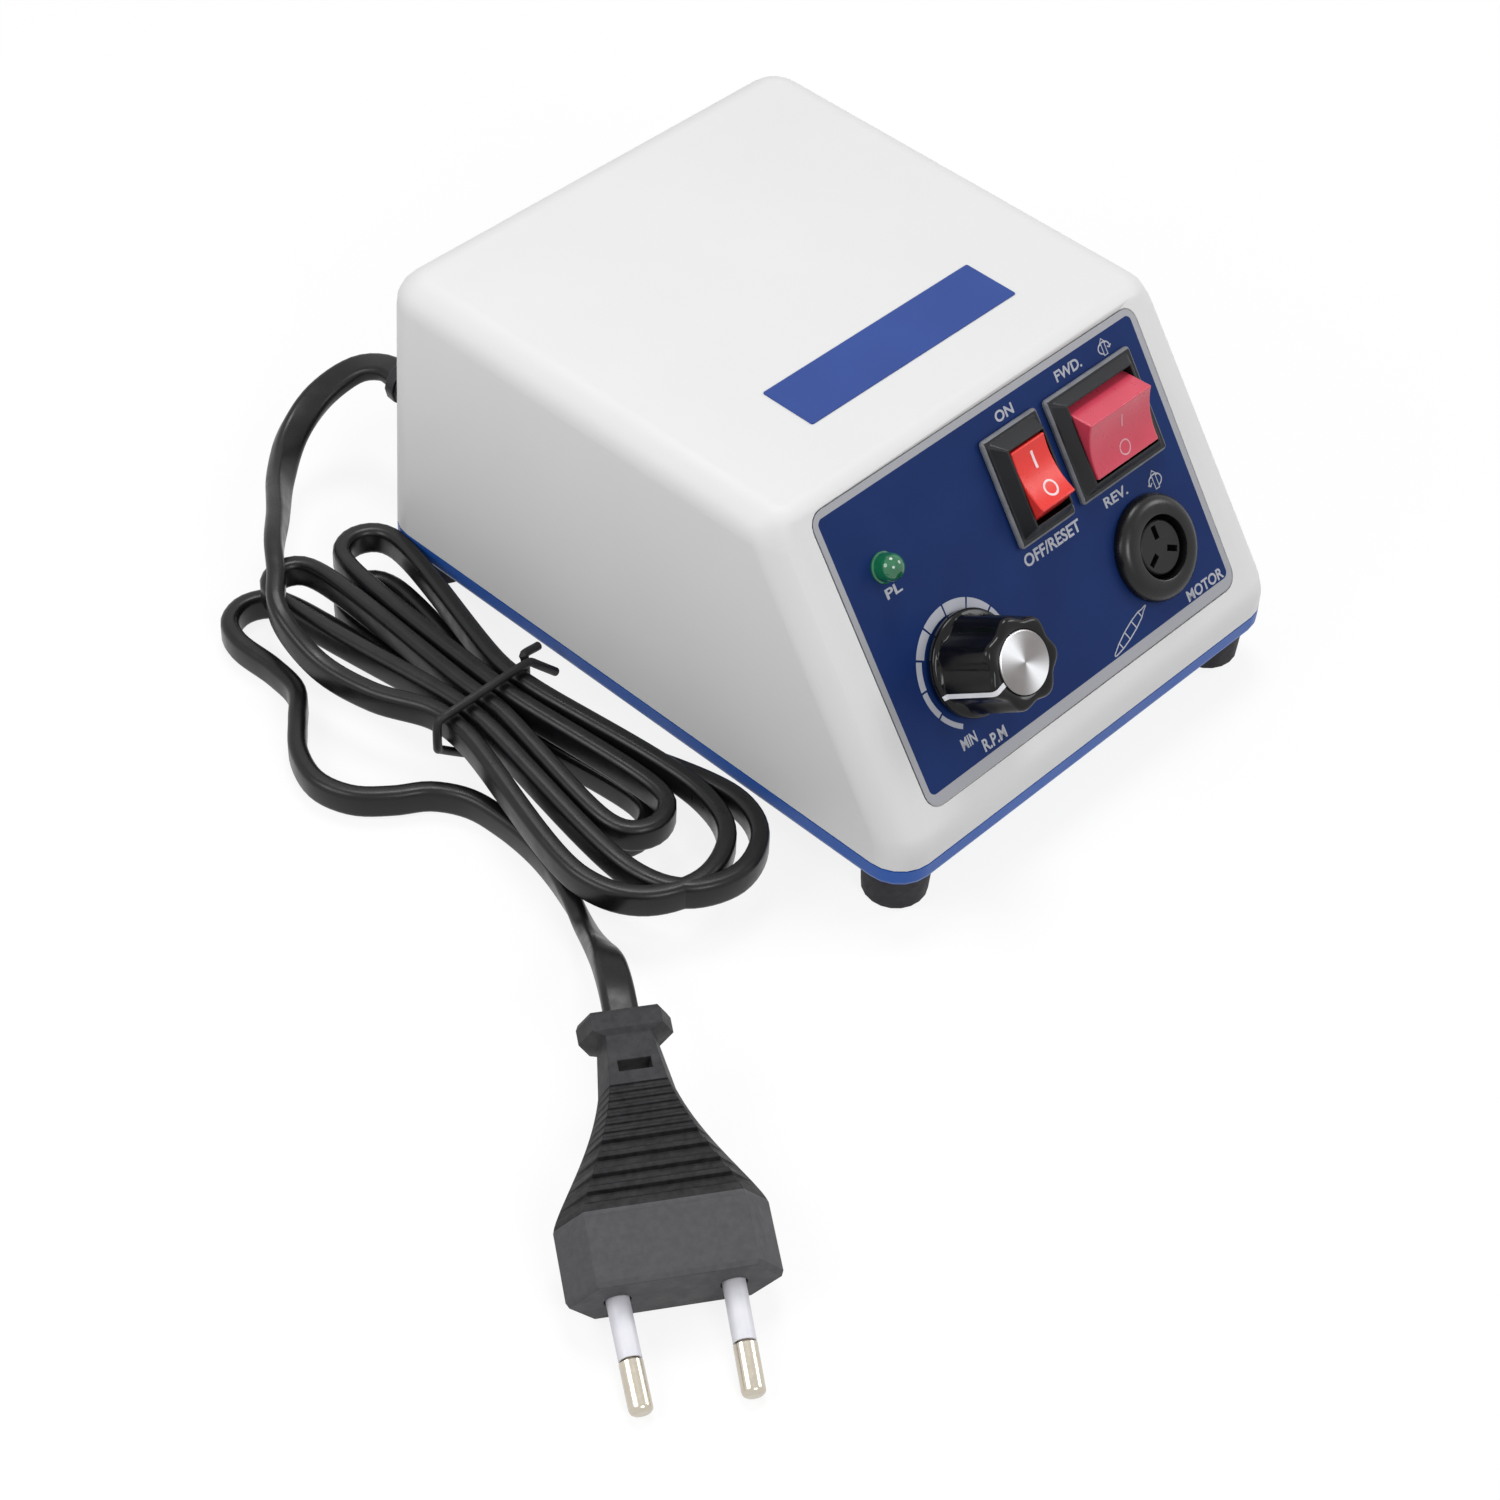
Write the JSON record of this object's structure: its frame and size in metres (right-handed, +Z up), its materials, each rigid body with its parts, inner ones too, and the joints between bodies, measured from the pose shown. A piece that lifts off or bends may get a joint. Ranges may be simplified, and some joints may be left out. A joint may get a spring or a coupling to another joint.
{
  "type": "dental lab micromotor control unit",
  "caption": "Sloping desktop control box for a dental lab micromotor with rocker switches, speed knob, handpiece socket, rubber feet and a tied mains cord with a flat plug.",
  "frame": {"origin": "on the table under the middle of the control box, measured with its knob and rear fittings and without the cord", "axes": "+Z up, the sloping panel faces -Y, +X to the operator's right"},
  "size_m": [0.2123, 0.2215, 0.0719],
  "materials": {
    "cover": "fine matt texture",
    "base": "satin blue",
    "rubber": "matt",
    "steel": "plain",
    "panel": "printed sheet",
    "black": "satin",
    "gloss": "polished",
    "red": "satin, slightly clear",
    "green": "clear tinted",
    "aluminium": "spun",
    "copper": "enamelled wire",
    "board": "lacquered",
    "glass": "clear tube",
    "cord": "satin",
    "plug": "matt",
    "sleeve": "satin white"
  },
  "bodies": {
    "unit": {"case_cover": "cover", "case_base": "base", "foot_front_left": "rubber", "foot_front_right": "rubber", "foot_rear_left": "rubber", "foot_rear_right": "rubber", "case_screw_front_left": "steel", "case_screw_front_right": "steel", "case_screw_rear_left": "steel", "case_screw_rear_right": "steel", "front_panel": "panel", "power_switch_frame": "black", "direction_switch_frame": "black", "power_lamp": "green", "socket_housing": "black", "socket_insert": "black", "socket_nut": "steel", "speed_potentiometer": "black", "potentiometer_nut": "steel", "strain_relief": "cord", "fuse_holder": "black", "fuse_link": "glass", "fuse_holder_nut": "steel", "pedal_jack": "black", "pedal_jack_nut": "steel", "selector_frame": "steel", "transformer_core": "steel", "transformer_winding": "copper", "transformer_bracket": "steel", "transformer_screw_left": "steel", "transformer_screw_right": "steel", "circuit_board": "board", "board_screw_front_left": "steel", "board_screw_front_right": "steel", "board_screw_rear_left": "steel", "board_screw_rear_right": "steel", "capacitor_a": "black", "capacitor_b": "black", "heat_sink": "aluminium", "power_transistor": "black", "cord_from_case": "cord", "cord_hank": "cord", "cord_tie": "cord", "cord_to_plug": "cord", "plug_body": "plug", "plug_pin_left": "steel", "plug_pin_right": "steel", "pin_sleeve_left": "sleeve", "pin_sleeve_right": "sleeve"},
    "speed_control": {"speed_knob": "gloss", "knob_cap": "aluminium", "speed_shaft": "steel"},
    "power_paddle": {"power_rocker": "red"},
    "direction_paddle": {"direction_rocker": "red"},
    "fuse_carrier": {"fuse_cap": "black"},
    "selector": {"selector_slider": "black"}
  },
  "joints": [
    {"name": "speed_turn", "type": "hinge", "parent": "unit", "child": "speed_control", "pos_m": [-0.0237, -0.05591, 0.03761], "axis": [0, -0.8209, 0.5711], "range_deg": [-263.5, 36.5]},
    {"name": "power_rock", "type": "hinge", "parent": "unit", "child": "power_paddle", "pos_m": [0.0045, -0.04348, 0.05601], "axis": [1, 0, 0], "range_deg": [0, 23]},
    {"name": "direction_rock", "type": "hinge", "parent": "unit", "child": "direction_paddle", "pos_m": [0.0262, -0.04254, 0.05535], "axis": [1, 0, 0], "range_deg": [-34, 0]},
    {"name": "fuse_cap_turn", "type": "hinge", "parent": "unit", "child": "fuse_carrier", "pos_m": [-0.011, 0.06562, 0.03], "axis": [0, 0.9998, 0.0216], "range_deg": [0, 45]},
    {"name": "selector_slide", "type": "slide", "parent": "unit", "child": "selector", "axis": [-1, 0, 0], "range_m": [0, 0.004]}
  ]
}
